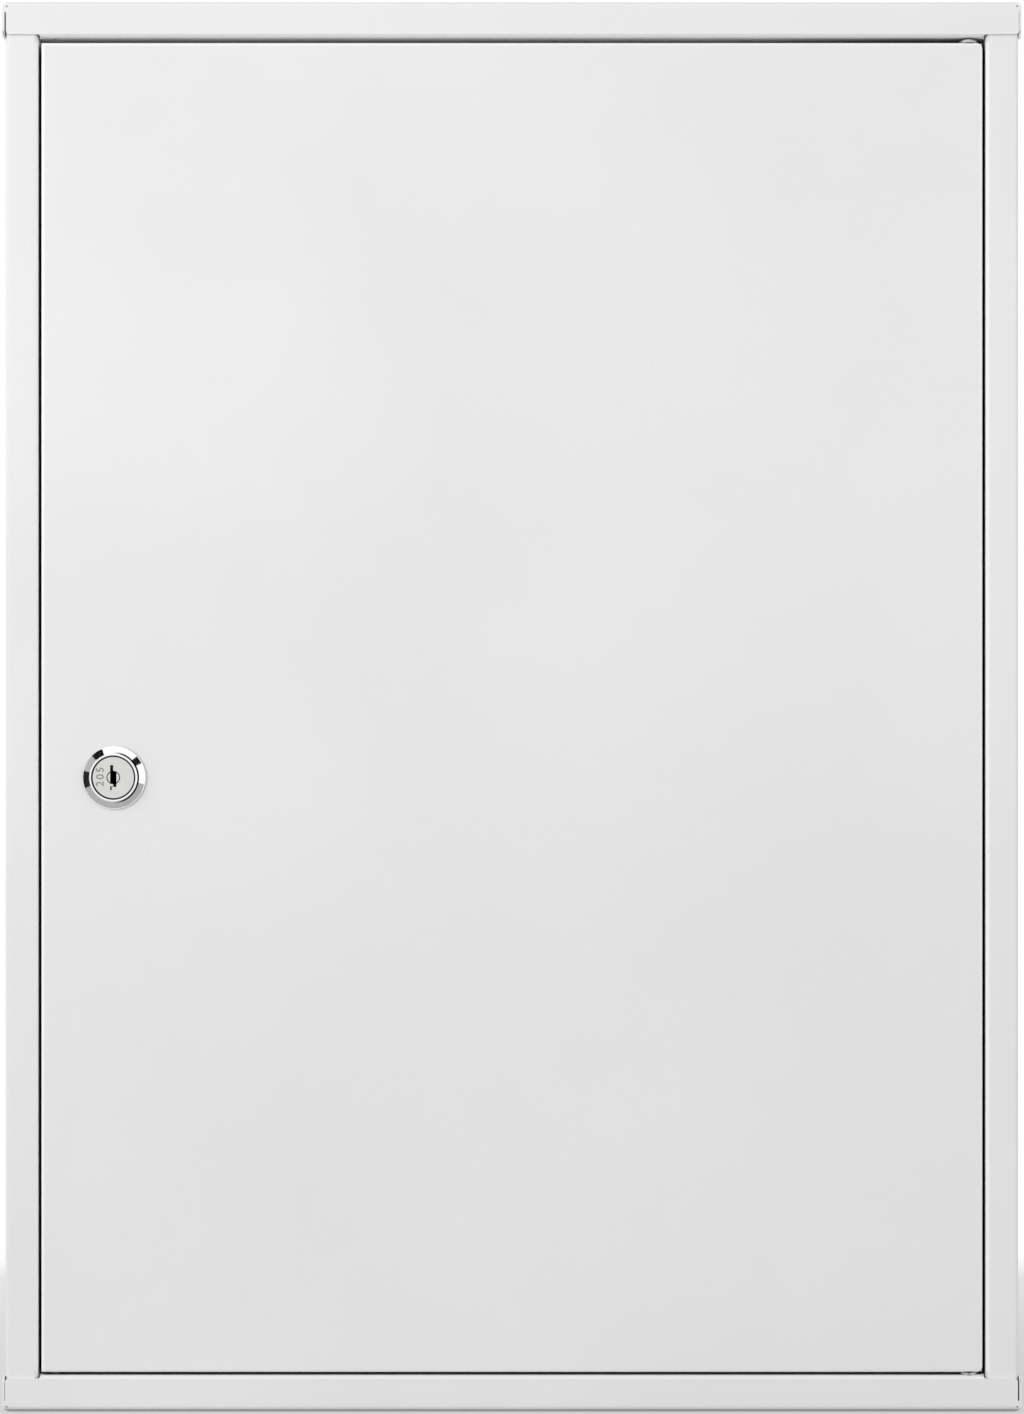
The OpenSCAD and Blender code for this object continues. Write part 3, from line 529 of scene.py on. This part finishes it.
def white_world(strength):
    """White for the camera and in reflections, and that strength as light on the object."""
    world = bpy.data.worlds.new("studio")
    bpy.context.scene.world = world
    world.use_nodes = True
    tree = world.node_tree
    level = tree.nodes.new("ShaderNodeMapRange")
    level.inputs["To Min"].default_value = strength
    tree.links.new(share_of_rays(tree, "Is Camera Ray", "Is Glossy Ray", "Is Transmission Ray"),
                   level.inputs["Value"])
    tree.nodes["Background"].inputs["Color"].default_value = (1, 1, 1, 1)
    tree.links.new(level.outputs[0], tree.nodes["Background"].inputs["Strength"])


def floor():
    """Plain pale floor that keeps the shadow near the cabinet and runs out to white."""
    size, below, tone = 8.0, 0.3 * MM, grey(0.6)
    white_from, least_white = 0.09, 0.4
    mesh = bpy.data.meshes.new("floor")
    corners = [(x * size / 2, y * size / 2, 0) for x, y in ((-1, -1), (1, -1), (1, 1), (-1, 1))]
    mesh.from_pydata(corners, [], [(0, 1, 2, 3)])
    obj = bpy.data.objects.new("floor", mesh)
    bpy.context.scene.collection.objects.link(obj)
    obj.location.z = cad_box[0].z - below
    f = Finish("floor", Roughness=0.9, Specular_IOR_Level=0.1, Base_Color=tone)
    middle_y = (cad_box[0].y + cad_box[1].y) / 2
    depth = cad_box[1].y - cad_box[0].y
    beside = f.math("SUBTRACT", f.math("ABSOLUTE", f.x), WIDTH / 2)
    before = f.math("SUBTRACT", f.math("ABSOLUTE", f.math("SUBTRACT", f.y, middle_y)), depth / 2)
    away = f.largest(beside, before)
    seen = f.product(f.ramp(away, 0.0, white_from, least_white, 1.0),
                     share_of_rays(f.tree, "Is Camera Ray", "Is Glossy Ray", "Is Transmission Ray"))
    glow = f.add("ShaderNodeEmission", Color=grey(1.0), Strength=1.0).outputs[0]
    both = f.add("ShaderNodeMixShader", i0=seen, i1=f.shader.outputs[0], i2=glow).outputs[0]
    f.tree.links.new(both, f.tree.nodes["Material Output"].inputs["Surface"])
    mesh.materials.append(f.material)


def soft_light(name, place, target, size, power):
    """Square soft box that looks at the target."""
    light = bpy.data.lights.new(name, "AREA")
    light.shape = "SQUARE"
    light.size = size
    light.energy = power
    obj = bpy.data.objects.new(name, light)
    bpy.context.scene.collection.objects.link(obj)
    obj.location = place
    obj.rotation_euler = (Vector(target) - Vector(place)).to_track_quat("-Z", "Y").to_euler()
    obj.visible_glossy = False


def camera():
    """Level camera in front of the cabinet's middle, as far off as its width in the photograph asks."""
    data = bpy.data.cameras.new("camera")
    obj = bpy.data.objects.new("camera", data)
    bpy.context.scene.collection.objects.link(obj)
    metres_per_px = WIDTH / OBJECT_W_PX
    off_x = (PHOTO_W / 2 - OBJECT_CENTRE_PX[0]) * metres_per_px
    off_z = (OBJECT_CENTRE_PX[1] - PHOTO_H / 2) * metres_per_px
    obj.location = (off_x, CAP_LOW.y - CAMERA_DISTANCE, off_z)
    obj.rotation_euler = (math.pi / 2, 0, 0)
    data.sensor_width = 36
    data.lens = data.sensor_width * CAMERA_DISTANCE / (PHOTO_H * metres_per_px)
    data.clip_start = 0.01
    bpy.context.scene.camera = obj


def bezel_card(name, start, stop, tone):
    """Card that shows in the bezel's cone between two angles, counted anticlockwise from the right.

    Only reflections see it. Each of its corners lies where the camera's ray goes from the cone.
    """
    cone_rise, cone_run = 1.15 * MM, 2.1 * MM
    cone_r, cone_y = 8.75 * MM, -1.43 * MM
    lean = math.atan2(cone_rise, cone_run)
    spread = math.radians(7)
    distance, step_degrees = 0.19, 8
    steps = max(2, round((stop - start) / step_degrees))
    points = []
    for i in range(steps + 1):
        turn = math.radians(start + (stop - start) * i / steps)
        outward = Vector((math.cos(turn), 0, math.sin(turn)))
        spot = LOCK + cone_r * outward + Vector((0, cone_y, 0))
        into = (spot - bpy.context.scene.camera.location).normalized()
        for tilt in (lean - spread, lean + spread):
            normal = math.sin(tilt) * outward + Vector((0, -math.cos(tilt), 0))
            points.append(spot + distance * into.reflect(normal))
    faces = [(2 * i, 2 * i + 1, 2 * i + 3, 2 * i + 2) for i in range(steps)]
    mesh = bpy.data.meshes.new(name)
    mesh.from_pydata(points, [], faces)
    material = bpy.data.materials.new(name)
    material.use_nodes = True
    tree = material.node_tree
    tree.nodes.remove(tree.nodes["Principled BSDF"])
    glow = tree.nodes.new("ShaderNodeEmission")
    glow.inputs["Color"].default_value = grey(1.0)
    glow.inputs["Strength"].default_value = tone
    tree.links.new(glow.outputs[0], tree.nodes["Material Output"].inputs["Surface"])
    mesh.materials.append(material)
    obj = bpy.data.objects.new(name, mesh)
    bpy.context.scene.collection.objects.link(obj)
    obj.visible_camera = False
    obj.visible_diffuse = False
    obj.visible_transmission = False
    obj.visible_shadow = False


white_world(0.47)
floor()
soft_light("key", place=(-0.95, -0.9, 0.5), target=(0, 0, 0.05), size=0.9, power=9.15)
soft_light("fill", place=(0.9, -0.9, 0.45), target=(0, 0, 0), size=0.9, power=4.7)
camera()

# Name, first and last angle in degrees, and brightness of each card: dark, grey and white
for card in (("card_top_left", 112, 136, 0.01), ("card_left", 167, 200, 0.02), ("card_right", 27, 43, 0.01),
             ("card_upper_left", 136, 167, 0.5), ("card_bottom_left", 200, 290, 0.46),
             ("card_bottom_right", 290, 348, 0.42),
             ("card_white_top", 43, 112, 1.15), ("card_white_right", -12, 27, 1.15)):
    bezel_card(*card)

bpy.context.scene.view_settings.view_transform = "Standard"
